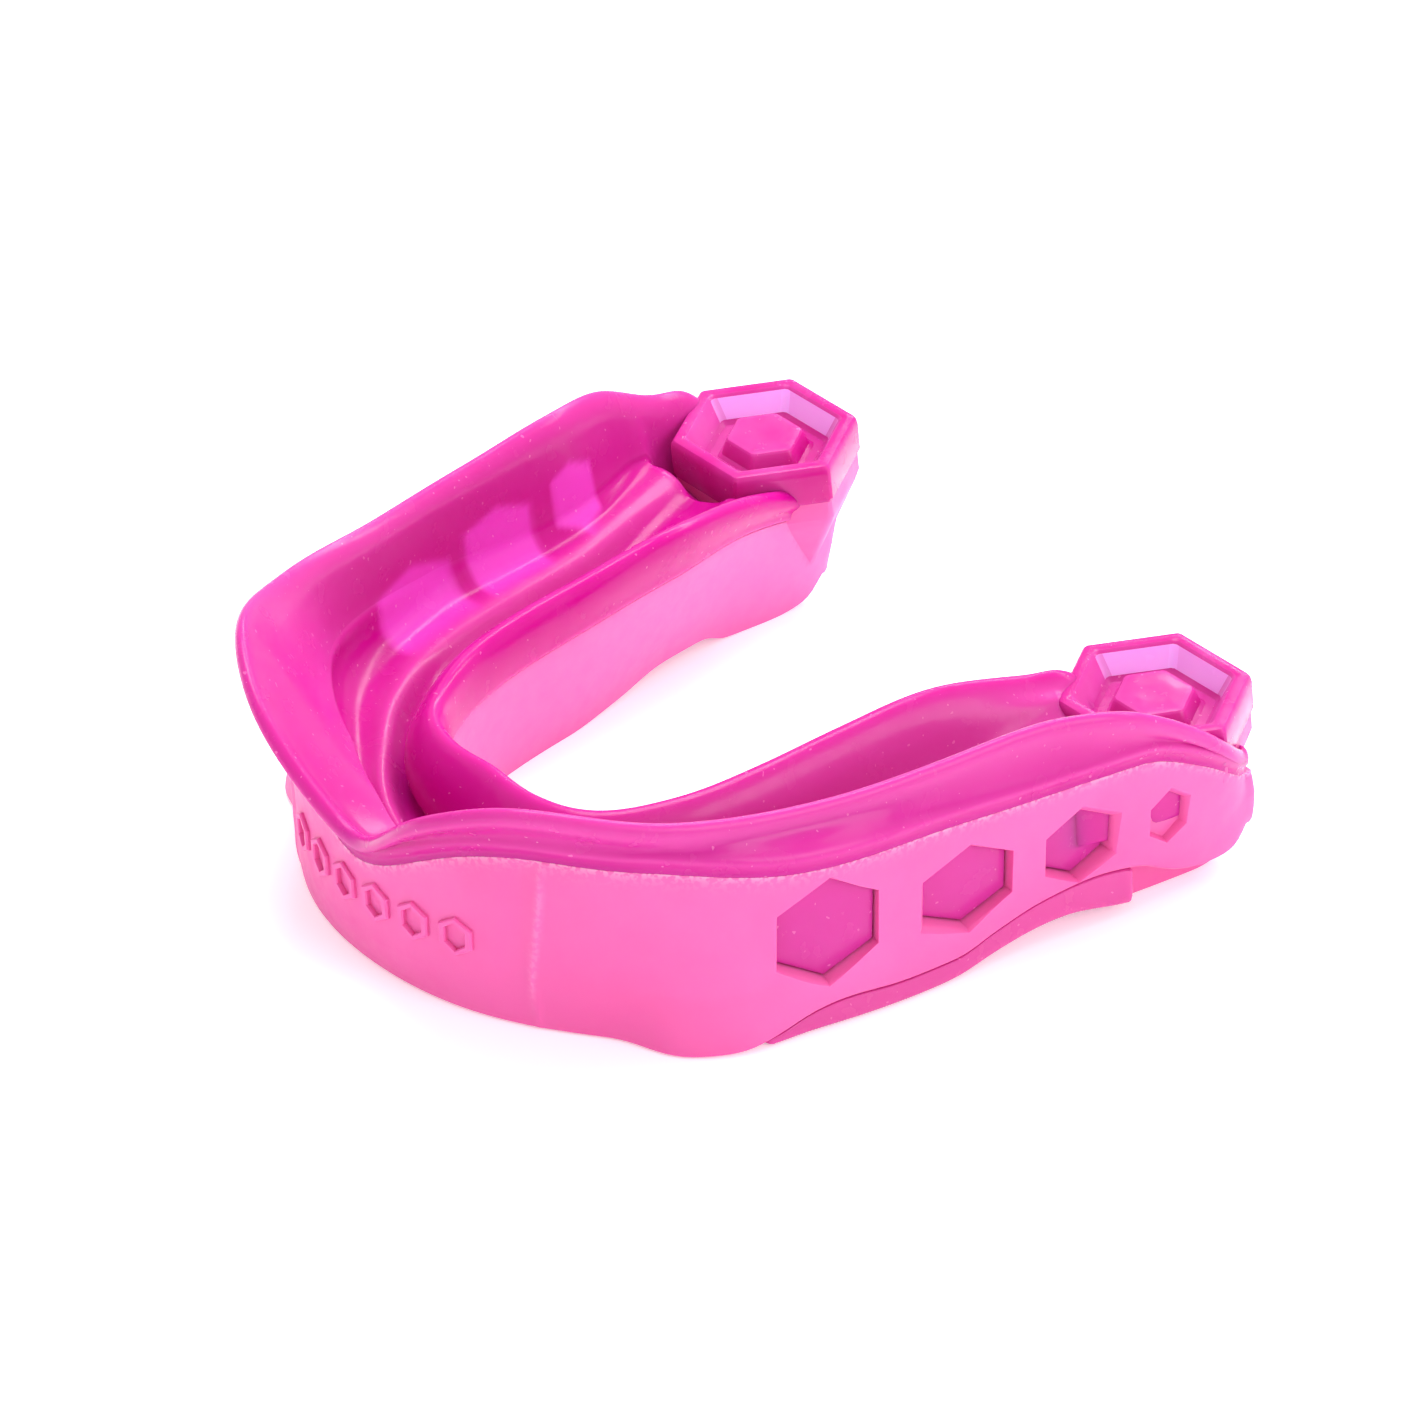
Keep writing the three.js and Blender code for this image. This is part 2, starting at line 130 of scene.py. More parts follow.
# The lowest edge of the bite strip's outer face.
STRIP_FOOT = [(0, 0.12), (40, 0.12), (44, 0.9), (48, 1.7), (51, 1.9), (54, 1.3), (57, 0.8)]
# Windows in the outer wall: distance, height, half width, half height.
WINDOWS = [
    (29.8, 8.8, 4.2, 4.6), (41.35, 8.0, 4.05, 3.65), (51.4, 8.0, 3.0, 3.1), (59.1, 8.0, 1.6, 2.25),
]
WINDOW_DEPTH = 1.3
# Pale patches on the channel's outer wall, where the windows let light through the gel.
GLOW = [(31.8, 10.1, 4.0, 3.5), (40.6, 12.1, 3.4, 3.0), (48.6, 13.6, 2.2, 2.3)]


# ---------------------------------------------------------------- curves
def spline(knots, values):
    """A cubic spline through values at knots, with free ends."""
    n = len(knots)
    h = np.diff(knots)
    system = np.zeros((n, n))
    right = np.zeros((n,) + values.shape[1:])
    system[0, 0] = system[-1, -1] = 1
    for i in range(1, n - 1):
        system[i, i - 1 : i + 2] = h[i - 1], 2 * (h[i - 1] + h[i]), h[i]
        right[i] = 6 * ((values[i + 1] - values[i]) / h[i] - (values[i] - values[i - 1]) / h[i - 1])
    bend = np.linalg.solve(system, right)

    def at(x):
        i = np.clip(np.searchsorted(knots, x) - 1, 0, n - 2)
        w, a, b = h[i][:, None], (knots[i + 1] - x)[:, None], (x - knots[i])[:, None]
        return (
            bend[i] * a**3 / (6 * w)
            + bend[i + 1] * b**3 / (6 * w)
            + (values[i] / w - bend[i] * w / 6) * a
            + (values[i + 1] / w - bend[i + 1] * w / 6) * b
        )

    return at


def arch_line():
    """Points of the whole middle line at even distances, with the distance 0 at the front."""
    half = np.array(SPINE, float)
    whole = np.vstack([half[:0:-1] * (-1, 1), half])
    knots = np.r_[0, np.cumsum(np.linalg.norm(np.diff(whole, axis=0), axis=1))]
    fine = np.linspace(0, knots[-1], 4001)
    points = spline(knots, whole)(fine)
    length = np.r_[0, np.cumsum(np.linalg.norm(np.diff(points, axis=0), axis=1))]
    length -= length[-1] / 2
    return length, points


LINE_S, LINE_P = arch_line()


def place(s, q, z):
    """Row-frame points, in metres, of distance s along the arch, offset q and height z, in mm."""
    s = np.asarray(s, float)
    inside = np.clip(s, LINE_S[0], LINE_S[-1])
    point = np.stack([np.interp(inside, LINE_S, LINE_P[:, k]) for k in (0, 1)], -1)
    slope = np.gradient(LINE_P, LINE_S, axis=0)
    tangent = np.stack([np.interp(inside, LINE_S, slope[:, k]) for k in (0, 1)], -1)
    tangent /= np.linalg.norm(tangent, axis=-1, keepdims=True)
    point = point + tangent * (s - inside)[..., None]
    normal = np.stack([tangent[..., 1], -tangent[..., 0]], -1)
    flat = point + normal * np.asarray(q, float)[..., None]
    return np.concatenate([flat, np.broadcast_to(np.asarray(z, float), s.shape)[..., None]], -1) * MM


FINE = np.linspace(-72, 72, 1441)


def track(rows, column, soften=1.2):
    """A function of s through one column of rows, the same on both arms, with soft bends."""
    table = np.array(rows, float)
    reach = np.abs(FINE)
    straight = np.interp(reach, table[:, 0], table[:, column])
    steps = table[:, 0]
    slopes = np.diff(table[:, column]) / np.diff(steps)
    tangents = np.zeros(len(table))
    for i in range(1, len(table) - 1):
        product = slopes[i - 1] * slopes[i]
        tangents[i] = 2 * product / (slopes[i - 1] + slopes[i]) if product > 0 else 0
    tangents[-1] = slopes[-1]
    i = np.clip(np.searchsorted(steps, reach) - 1, 0, len(table) - 2)
    width = np.diff(steps)[i]
    t = np.clip((reach - steps[i]) / width, 0, 1)
    rest = 1 - t
    curve = (
        (1 + 2 * t) * rest**2 * table[i, column]
        + t * rest**2 * width * tangents[i]
        + t**2 * (3 - 2 * t) * table[i + 1, column]
        - t**2 * rest * width * tangents[i + 1]
    )
    curve = np.where(reach > steps[-1], straight, curve)
    spread = np.arange(-40, 41) * (FINE[1] - FINE[0])
    kernel = np.exp(-0.5 * (spread / soften) ** 2)
    smooth = np.convolve(np.pad(curve, 40, "edge"), kernel / kernel.sum(), "valid")
    return lambda s: np.interp(s, FINE, smooth)


class Edge:
    def __init__(self, rows, soften=1.2):
        self.q = track(rows, 1, soften)
        self.z = track(rows, 2, soften)


rim = Edge(GEL_RIM)
top = Edge(FRAME_TOP, 0.8)
crease = Edge(FRAME_CREASE)
foot = Edge(FRAME_FOOT, 0.7)
crest = Edge(LINGUAL_CREST)
tongue = Edge(LINGUAL_TOP)
heel = Edge(LINGUAL_FOOT, 0.7)
ledge = Edge(LEDGE)
rib = Edge(RIB)
underside = track(UNDERSIDE, 1, 0.25)
web_top = track(WEB_TOP, 1)
channel_floor = track(CHANNEL_FLOOR, 1)
strip_foot = track(STRIP_FOOT, 1)


def swell(s, amount, centre, spread):
    """A smooth rise of the given amount around one place on the arch."""
    return amount * np.exp(-(((s - centre) / spread) ** 2))


def ramp(x, low, high):
    """0 below low, 1 above high, smooth between."""
    t = np.clip((x - low) / (high - low), 0, 1)
    return t * t * (3 - 2 * t)


# ---------------------------------------------------------------- meshes
def b_spline(controls):
    """Rounds each station's closed outline of control points. controls is (stations, points, n)."""
    rings = []
    for k in range(controls.shape[1]):
        before, here, after, later = (np.roll(controls, 1 - k - j, axis=1)[:, 0] for j in range(4))
        for step in range(SAMPLES_PER_SPAN):
            t = step / SAMPLES_PER_SPAN
            rings.append(
                (
                    (1 - t) ** 3 * before
                    + (3 * t**3 - 6 * t**2 + 4) * here
                    + (-3 * t**3 + 3 * t**2 + 3 * t + 1) * after
                    + t**3 * later
                )
                / 6
            )
    return np.stack(rings, axis=1)


def outline(s, points):
    """Control points from (q, z, weight, tone, glow) rows. A weight of 2 or 3 repeats a point, for a
    tighter corner. Tone and glow are painted on the surface, mostly as painted light and shade. Tone 1
    is pale and 0 deep. Glow is painted light that makes paler the frame's tongue side and seams, and
    the gel on the outer wall across from the windows."""
    columns = []
    for q, z, weight, *paint in points:
        values = [q, z, *paint, *[0] * (2 - len(paint))]
        column = np.stack([np.broadcast_to(value, s.shape) for value in values], -1)
        columns.extend([column] * weight)
    return np.stack(columns, axis=1)


def new_object(name, vertices, faces):
    mesh = bpy.data.meshes.new(name)
    mesh.from_pydata([tuple(v) for v in vertices], [], faces)
    mesh.update()
    piece = bpy.data.objects.new(name, mesh)
    bpy.context.scene.collection.objects.link(piece)
    return piece


def tidy(piece, sharp_degrees=40):
    """Merges doubles, turns every face outward and smooths all but the sharp edges."""
    work = bmesh.new()
    work.from_mesh(piece.data)
    bmesh.ops.remove_doubles(work, verts=work.verts, dist=2e-6)
    bmesh.ops.dissolve_degenerate(work, edges=work.edges, dist=1e-6)
    bmesh.ops.recalc_face_normals(work, faces=work.faces)
    for face in work.faces:
        face.smooth = True
    limit = math.radians(sharp_degrees)
    for edge in work.edges:
        edge.smooth = len(edge.link_faces) == 2 and edge.calc_face_angle(0) < limit
    work.to_mesh(piece.data)
    work.free()
    return piece


def paint(piece, name, values, domain="POINT"):
    """Keeps one number for each vertex or face, for the materials."""
    layer = piece.data.attributes.new(name, "FLOAT", domain)
    layer.data.foreach_set("value", np.asarray(values, np.float32))


def loft(name, stations, controls, round_length=0.9, shrink=0.25, lit_by_windows=False):
    """A closed mesh through the rounded outline at each station, with rounded ends."""
    rings = b_spline(controls)
    end_rings, end_s = [], []
    for index, direction in ((0, -1), (-1, 1)):
        centre = rings[index].mean(axis=0)
        for turn in (20, 40, 58, 74, 87):
            angle = math.radians(turn)
            ring = rings[index].copy()
            scale = 1 - shrink + shrink * math.cos(angle)
            ring[:, :2] = centre[:2] + (ring[:, :2] - centre[:2]) * scale
            end_rings.append(ring)
            end_s.append(stations[index] + direction * round_length * math.sin(angle))
    half = len(end_rings) // 2
    rings = np.concatenate([end_rings[:half][::-1], rings, end_rings[half:]])
    s = np.concatenate([end_s[:half][::-1], stations, end_s[half:]])
    count, size = rings.shape[:2]
    along = np.repeat(s[:, None], size, 1)
    vertices = place(along, rings[..., 0], rings[..., 1]).reshape(-1, 3)
    faces = []
    for i in range(count - 1):
        for j in range(size):
            a, b = i * size + j, i * size + (j + 1) % size
            faces.append((a, a + size, b + size, b))
    faces.append(tuple(range(size)))
    faces.append(tuple((count - 1) * size + j for j in reversed(range(size))))
    piece = new_object(name, vertices, faces)
    paint(piece, "tone", rings[..., 2].ravel())
    light = window_light(along, rings[..., 1]) if lit_by_windows else 1
    paint(piece, "glow", (rings[..., 3] * light).ravel())
    return tidy(piece)


def window_light(s, z):
    """1 where a point of the inner face lies across from a window, with soft edges."""
    light = np.zeros_like(s)
    for centre, height, half_w, half_h in GLOW:
        across = np.abs(np.abs(s) - centre) / half_w
        up = np.abs(z - height) / half_h
        light = np.maximum(light, 1 - ramp(np.maximum(across, up * 0.85 + across * 0.3), 0.85, 1.1))
    return light


def boolean(target, tool, operation):
    step = target.modifiers.new(operation, "BOOLEAN")
    step.operation = operation
    step.solver = "EXACT"
    step.object = tool
    graph = bpy.context.evaluated_depsgraph_get()
    result = bpy.data.meshes.new_from_object(target.evaluated_get(graph))
    target.modifiers.clear()
    old = target.data
    target.data = result
    bpy.data.meshes.remove(old)
    bpy.data.objects.remove(tool)


def join(target, others):
    """Makes one object of several separate closed shells."""
    with bpy.context.temp_override(active_object=target, selected_editable_objects=[target, *others]):
        bpy.ops.object.join()
    return target


def stations_between(start, end, extra=()):
    count = int(round((end - start) / STATION_STEP))
    s = np.unique(np.round(np.r_[np.linspace(start, end, count + 1), extra], 3))
    keep = np.r_[True, np.diff(s) > SMALLEST_STEP]
    return s[keep]


def arm(s):
    return np.abs(s)


# ---------------------------------------------------------------- shock frame
# The parting line on the front band: (distance along the arch, height).
SEAM_TOP, SEAM_KINK, SEAM_FOOT = (12.9, 15.6), (12.1, 4.7), (12.5, 0.7)
SEAM_MIDDLE, SEAM_REACH, SEAM_STEP = 12.5, 0.9, 0.1
# Where the underside drops to the rear foot.
HEEL_START, HEEL_END, HEEL_STEP = 56, 58, 0.2


def seam_relief(s, z):
    """How far the parting line and the dip beside it move the outer face, in mm."""
    heights = [SEAM_FOOT[1], SEAM_KINK[1], SEAM_TOP[1]]
    line = np.interp(z, heights, [SEAM_FOOT[0], SEAM_KINK[0], SEAM_TOP[0]])
    behind = arm(s) - line
    flash = 0.2 * np.exp(-((behind / 0.22) ** 2))
    dip = -0.28 * np.exp(-(((behind + 1.1) / 0.8) ** 2)) * ramp(z, 3, 7)
    return flash + dip


def wall_q(s, z):
    """The outer face's offset at a height."""
    low, high = crease.z(s), top.z(s)
    return crease.q(s) + (top.q(s) - crease.q(s)) * np.clip((z - low) / (high - low), -0.3, 1)


def wall_thickness(s):
    return FRAME_WALL - 0.6 * ramp(arm(s), 50, 56)


def frame_outline(s):
    top_q, top_z = top.q(s), top.z(s)
    foot_q, foot_z = foot.q(s), foot.z(s)
    tongue_q, tongue_z = tongue.q(s), tongue.z(s)
    heel_q, heel_z = heel.q(s), heel.z(s)
    crease_z = np.maximum(crease.z(s), foot_z + 1.4)
    wall = wall_thickness(s)
    web = np.minimum(web_top(s), np.minimum(top_z, tongue_z) - 0.5)
    under = np.minimum(underside(s), foot_z + 0.05)
    step_q = np.minimum(5.2, foot_q - 1.4)

    def face(share):
        z = crease_z + (top_z - crease_z) * share
        q = crease.q(s) + (top_q - crease.q(s)) * share
        return q + seam_relief(s, z), z

    def seam(share):
        """The tone and glow that paint a highlight on the parting line: pale specks and a paler colour."""
        z = crease_z + (top_z - crease_z) * share
        pale = np.clip(6 * seam_relief(s, z), 0, 1)
        return 0.3 * pale, pale

    lower_z = foot_z * 0.6 + crease_z * 0.4
    lower_q = foot_q * 0.6 + crease.q(s) * 0.4 + 0.12
    return outline(s, [
        (foot_q - 1.0, foot_z, 1),
        (foot_q - 0.3, foot_z, 1),
        (foot_q + seam_relief(s, foot_z) * 0.5, foot_z + 0.3, 2),
        (lower_q + seam_relief(s, lower_z), lower_z, 1),
        (*face(0.0), 2, *seam(0.0)),
        (*face(0.25), 1, *seam(0.25)),
        (*face(0.5), 1, *seam(0.5)),
        (*face(0.75), 1, *seam(0.75)),
        (top_q + seam_relief(s, top_z), top_z - 0.35, 1),
        # The tone on the top edge sets the pale specks there: painted highlights.
        (top_q, top_z, 2, 0.9),
        (top_q - 0.35, top_z + 0.02, 1, 0.6),
        (top_q - wall, top_z, 2),
        (top_q - wall - 0.1, web + 0.8, 1),
        (top_q - wall - 0.3, web, 2),
        (top_q - wall - 2.5, web, 1),
        (tongue_q + wall + 2.5, web, 1),
        (tongue_q + wall + 0.3, web, 2),
        (tongue_q + wall, tongue_z - 0.6, 1),
        (tongue_q + wall - 0.2, tongue_z, 2),
        # Glow on the tongue side's outer face makes it paler: painted light.
        (tongue_q, tongue_z, 2, 0, 0.7),
        (tongue_q, tongue_z - 0.6, 1, 0, 1),
        (tongue_q * 0.7 + heel_q * 0.3, tongue_z * 0.7 + heel_z * 0.3, 1, 0, 1),
        (tongue_q * 0.3 + heel_q * 0.7, tongue_z * 0.3 + heel_z * 0.7, 1, 0, 1),
        (heel_q, heel_z + 0.7, 1, 0, 1),
        (heel_q + 0.1, heel_z, 2, 0, 1),
        (heel_q + 1.8, heel_z, 2),
        (heel_q + 2.2, under, 2),
        (step_q - 0.3, under, 2),
        (step_q, foot_z, 1),
    ])


# On the frame this tone sets pale specks, painted glints, on the windows' sides and the raised rings; on the
# gel in the windows it is a middle tone between painted shade and painted highlight.
PRISM_TONE = 0.45  # the tone of the windows' sides, the raised rings and the gel in the windows
HEXAGON = [(0, 1), (-1, 0.5), (-1, -0.5), (0, -1), (1, -0.5), (1, 0.5)]


def prism(name, rings):
    """A closed prism through rings of six points, walked outward."""
    vertices = [v for ring in rings for v in ring]
    count = len(rings)
    faces = [tuple(range(6)), tuple(reversed(range(6 * count - 6, 6 * count)))]
    for i in range(count - 1):
        for j in range(6):
            a, b = i * 6 + j, i * 6 + (j + 1) % 6
            faces.append((a, b, b + 6, a + 6))
    piece = new_object(name, vertices, faces)
    paint(piece, "tone", [PRISM_TONE] * len(vertices))
    return tidy(piece)


def window_prism(s, z, half_w, half_h, side, levels):
    """A hexagon with upright sides, through (depth, growth) levels measured from the outer face."""
    origin = Vector(place([side * s], [0], [z])[0])
    out = (Vector(place([side * s], [1], [z])[0]) - origin).normalized()
    across = Vector((0, 0, 1)).cross(out)
    face_q = float(wall_q(np.array([s]), z)[0])
    rings = []
    for depth, grow in levels:
        ring = []
        for x, y in HEXAGON:
            offset = across * (x * (half_w + grow)) + Vector((0, 0, 1)) * (y * (half_h + grow * 1.15))
            ring.append(origin + out * ((face_q + depth) * MM) + offset * MM)
        rings.append(ring)
    return prism("window", rings)


def window_levels(s):
    """A window's cutter: straight sides with a small chamfer where they leave the wall."""
    inner = -0.75 if s > 57 else -WINDOW_DEPTH - 0.7  # the rearmost window is a shallow recess
    return [(inner, -0.12), (-0.3, 0), (0.02, 0.22), (0.5, 0.7), (3.0, 1.4)]


def pad_matrix(side):
    x, y, z = PADS[side]
    turn = Matrix.Rotation(math.radians(PAD_TILT), 4, "X")
    return Matrix.Translation(Vector((side * x, y, z)) * MM) @ turn @ Matrix.Diagonal((PAD_STRETCH, 1, 1, 1))


CORNER_SLANT = 0.5774  # how far a side of the hexagon falls back, for each mm along it
CORNER_TRIM = 0.12  # draws the whole outline in, beside the rounded corners


def hex_stack(name, levels, side, round_corner):
    """A six-sided solid from (radius, height, tone) levels, walked from the middle of its bottom to
    the middle of its top, in the pad's tilted frame. A tone above 0.5 is a painted reflection that
    fades round the pad, away from its lit side."""
    vertices, rings = [(0, 0, levels[0][1])], []
    leans = (-1, -0.4, 0.4, 1)
    for radius, height, tone in levels:
        ring = []
        for k in range(6):
            for lean in leans:
                angle = math.radians(60 * k)
                slide = lean * round_corner
                reach = radius - abs(lean) * round_corner * CORNER_SLANT - CORNER_TRIM
                ring.append(len(vertices))
                vertices.append((
                    reach * math.cos(angle) - slide * math.sin(angle),
                    reach * math.sin(angle) + slide * math.cos(angle),
                    height,
                ))
        rings.append(ring)
    size = len(rings[0])
    faces = [(0, rings[0][(j + 1) % size], rings[0][j]) for j in range(size)]
    tones = [levels[0][2]] * size
    for low, high, (_, _, tone) in zip(rings, rings[1:], levels[1:]):
        for j in range(size):
            k = (j + 1) % size
            faces.append((low[j], low[k], high[k], high[j]))
            on_side = j % len(leans) == len(leans) - 1
            middle = 60 * (j // len(leans)) + 30 * on_side
            lit = math.cos(math.radians(middle - PALE_FACETS))
            # Only a bevel with a tone above 0.5 is painted pale, palest towards PALE_FACETS: a painted
            # reflection.
            tones.append(tone * max(0.1, lit) if tone > 0.5 else tone)
    last = len(vertices)
    vertices.append((0, 0, levels[-1][1]))
    tones += [levels[-1][2]] * size
    faces += [(last, rings[-1][j], rings[-1][(j + 1) % size]) for j in range(size)]
    matrix = pad_matrix(side)
    piece = new_object(name, [matrix @ (Vector(v) * MM) for v in vertices], faces)
    paint(piece, "tone", tones, "FACE")
    return tidy(piece, 28)


def emblem(piece):
    """A plain row of raised hexagonal rings on the front band."""
    raised = ((-1.0, 0.0), (0.2, 0.0), (0.34, -0.1))
    dished = ((-0.1, -0.45), (0.22, -0.45), (0.8, -0.1))
    for s in EMBLEM_SPOTS:
        for levels, operation in ((raised, "UNION"), (dished, "DIFFERENCE")):
            rings = []
            for rise, grow in levels:
                corners_s = np.array([s + x * (EMBLEM_HALF_W + grow) for x, _ in HEXAGON])
                corners_z = np.array([EMBLEM_HEIGHT + y * (EMBLEM_HALF_H + grow) for _, y in HEXAGON])
                rings.append(list(place(corners_s, wall_q(corners_s, corners_z) + rise, corners_z)))
            boolean(piece, prism("emblem", rings), operation)


def build_frame():
    steps = np.arange(-SEAM_REACH, SEAM_REACH + 0.01, SEAM_STEP)
    seams = [sign * (SEAM_MIDDLE + step) for sign in (-1, 1) for step in steps]
    heels = [sign * s for sign in (-1, 1) for s in np.arange(HEEL_START, HEEL_END, HEEL_STEP)]
    s = stations_between(-ARCH_END, ARCH_END, seams + heels)
    piece = loft("shock_frame_shell", s, frame_outline(s), 1.2, 0.22)
    emblem(piece)
    for side in (-1, 1):
        socket = hex_stack("socket", SOCKET_LEVELS, side, 0.5)
        middle_x = PADS[side][0] * MM
        # The socket's half towards the tongue is made paler with glow: painted light, as on the tongue side.
        paint(socket, "glow", [float(vertex.co.x * side < middle_x) for vertex in socket.data.vertices])
        boolean(piece, socket, "UNION")
        for s, z, half_w, half_h in WINDOWS:
            boolean(piece, window_prism(s, z, half_w, half_h, side, window_levels(s)), "DIFFERENCE")
    tidy(piece, 32)
    return piece


# ---------------------------------------------------------------- gel liner
def liner_outline(s):
    top_q, top_z = top.q(s), top.z(s)
    rim_q, rim_z = rim.q(s), rim.z(s) + swell(s, *RIGHT_RIM_RISE)
    crest_q, crest_z = crest.q(s), crest.z(s) + swell(s, *LEFT_CREST_RISE)
    crest_z = crest_z + (np.minimum(crest_z, 11.6) - crest_z) * ramp(s, 60, 61.6)
    tongue_q, tongue_z = tongue.q(s), tongue.z(s)
    wall = wall_thickness(s)
    base = web_top(s) + 0.05
    floor = np.maximum(channel_floor(s), base + 1.2)
    seat = top_q - wall - 0.05
    seat_in = tongue_q + wall + 0.05
    rise = rim_z - top_z
    flare = rim_q - top_q
    drop = 1 - ramp(arm(s), 24, 38)  # how sharply the pocket is undercut below the ledge
    below = ramp(arm(s), 57.2, 58.6)  # the channel runs on under the molar pad
    floor = floor + (9.6 - floor) * below
    ledge_q = np.minimum(ledge.q(s), seat - 1.0)
    ledge_z = np.minimum(ledge.z(s), rim_z - 1.2)
    ledge_z = ledge_z + (np.minimum(ledge_z, 10.6) - ledge_z) * below
    rib_q = np.minimum(rib.q(s), ledge_q - 1.6)
    rib_z = np.minimum(np.maximum(rib.z(s), floor + 0.5), ledge_z - 0.8)
    pocket_z = rib_z + 0.5 - 0.9 * drop
    inner_q, inner_z = rim_q - 1.9, rim_z - 1.0
    # near also deepens the tone at the front of the rim and the bead: painted shade.
    near = 1 - ramp(arm(s), 6, 14)  # the front's second bead, below the rim
    # upper and lower are the inner slope's tones at its top and at its foot: painted light and shade, palest
    # high up on the front of each arm.
    upper = 0.2 + 0.4 * ramp(arm(s), 10, 18) * (1 - 0.8 * ramp(arm(s), 28, 42))
    lower = 0.28 - 0.1 * ramp(arm(s), 22, 34)
    inner = 0.04 + 0.7 * ramp(s, 8, 22)  # the tongue side's inner face, paler on the lit arm

    def slope(share):
        return inner_q + (ledge_q - inner_q) * share, inner_z + (ledge_z - inner_z) * share

    # The pale tones are painted highlights on the rolled bead, the rim, the rib and the tongue-side ledge;
    # the deep tone in the pocket is painted shade together with the thicker gel's own deeper colour.
    return outline(s, [
        (seat - 0.8, base, 1, 0.2),
        (seat - 0.1, base + 0.1, 2, 0.2),
        (seat, top_z - 0.6, 1, 0.3),
        (seat + 0.1, top_z - 0.15, 2, 0.3),
        (top_q - 0.35, top_z - 0.35, 2, 0.2),
        (top_q + 0.0, top_z + 0.05, 2, 0.2),
        (top_q - 0.05, top_z + 0.5, 1, 0.0),
        (top_q + 0.25 + flare * 0.05, top_z + 1.0, 1, 0.15 - 0.1 * near),
        (top_q + 0.42 + flare * 0.12, top_z + 1.45 + 0.2 * near, 1, 0.6 - 0.5 * near),
        (top_q + 0.0 + flare * 0.2, top_z + 1.95 + 0.3 * near, 1, 0.1 - 0.05 * near),
        (top_q - 0.15 + flare * 0.42, top_z + rise * 0.56, 1, 0.25 - 0.15 * near),
        (rim_q - 0.25, rim_z - 1.25, 1, 0.5 - 0.35 * near),
        (rim_q, rim_z - 0.45, 1, 0.7 - 0.35 * near),
        (rim_q - 0.45, rim_z + 0.3, 1, 0.5 - 0.3 * near),
        (rim_q - 1.1, rim_z + 0.1, 1, 0.2 + 0.6 * upper),
        (*slope(0.0), 1, upper, 0.6),
        (*slope(0.25), 1, upper, 1),
        (*slope(0.5), 1, (upper + lower) / 2, 1),
        (*slope(0.8), 1, lower, 1),
        (*slope(1.0), 3, lower + 0.15, 1),
        (ledge_q - 0.25 * drop - 0.1, ledge_z - 0.6, 1, 0.0, 1),
        (ledge_q - 0.7 + 0.7 * drop, (ledge_z + pocket_z) / 2 - 0.4, 1, 0.0, 1),
        (ledge_q * 0.6 + rib_q * 0.4, pocket_z - 0.1, 1, 0.03, 1),
        (ledge_q * 0.2 + rib_q * 0.8, pocket_z - 0.1 + 0.3 * drop, 1, 0.2, 0.5),
        (rib_q + 0.1, rib_z + 0.25, 1, 0.6),
        (rib_q - 0.7, rib_z, 1, 0.45),
        (rib_q - 1.5, floor + 0.15, 1, 0.05),
        (rib_q - 2.6, floor, 1, 0.0),
        (rib_q - 3.3, floor + 0.2, 2, inner * 0.6),
        (seat_in + GEL_WALL + 0.2, floor + 1.1, 1, inner),
        (crest_q + 2.9, (floor + crest_z) / 2 + 0.6, 1, inner),
        (crest_q + 1.9, crest_z - 0.9, 1, inner),
        (crest_q + 1.1, crest_z, 1, 0.1),
        (crest_q + 0.3, crest_z + 0.15, 1, 0.0),
        (crest_q - 0.3, crest_z - 0.7, 1, 0.0),
        (crest_q * 0.5 + tongue_q * 0.5 - 0.4, crest_z * 0.5 + tongue_z * 0.5, 1, 0.0),
        (tongue_q - 0.2, tongue_z + 0.85, 1, 0.15),
        (tongue_q - 0.28, tongue_z + 0.2, 1, 0.6),
        (tongue_q + 0.05, tongue_z + 0.05, 2, 0.7),
        (seat_in - 0.1, tongue_z + 0.1, 2, 0.3),
        (seat_in, tongue_z - 0.6, 1, 0.2),
        (seat_in + 0.1, base + 0.1, 2, 0.2),
        (seat_in + 0.8, base, 1, 0.2),
    ])


def build_liner():
    s = stations_between(-LINER_END, LINER_END)
    piece = loft("gel_liner_body", s, liner_outline(s), 0.8, 0.3, lit_by_windows=True)
    plugs = []
    for side in (-1, 1):
        for s, z, half_w, half_h in WINDOWS[:3]:
            inner = wall_thickness(s) + 0.02
            levels = [(-inner, -0.25), (-WINDOW_DEPTH + 0.1, -0.25), (-WINDOW_DEPTH + 0.2, -0.6)]
            plugs.append(window_prism(s, z, half_w, half_h, side, levels))
    return join(piece, plugs)


# ---------------------------------------------------------------- pads and strips
def build_pad(side):
    return hex_stack("molar_pad", PAD_LEVELS, side, 0.35)


def strip_outline(s):
    roof = np.maximum(np.minimum(foot.z(s), underside(s)) - 0.05, 0.7)
    low = np.minimum(strip_foot(s), roof - 0.45)
    outer = foot.q(s)
    inner = heel.q(s) + 2.3
    return outline(s, [
        (outer - 2.2, low * 0.4 + 0.07, 1, 0.2),
        (outer - 0.7, low, 1, 0.3),
        (outer - 0.1, low + 0.05, 1, 0.5),
        (outer - 0.1, low * 0.5 + roof * 0.5, 1, 0.5),
        (outer - 0.25, roof, 2, 0.4),
        (inner, roof, 2, 0.2),
        (inner, 0.12, 2, 0.3),
        (inner + 2.0, 0.12, 1, 0.4),
        ((outer + inner) / 2, 0.3, 1, 0.3),
    ])


def build_strip(side):
    ends = sorted(side * s for s in STRIP_ENDS)
    s = stations_between(*ends)
    return loft("bite_strip", s, strip_outline(s), 0.5, 0.2)


# ---------------------------------------------------------------- materials
def srgb(r, g, b):
    def linear(v):
        v /= 255
        return ((v + 0.055) / 1.055) ** 2.4 if v > 0.04045 else v / 12.92

    return (linear(r), linear(g), linear(b), 1.0)


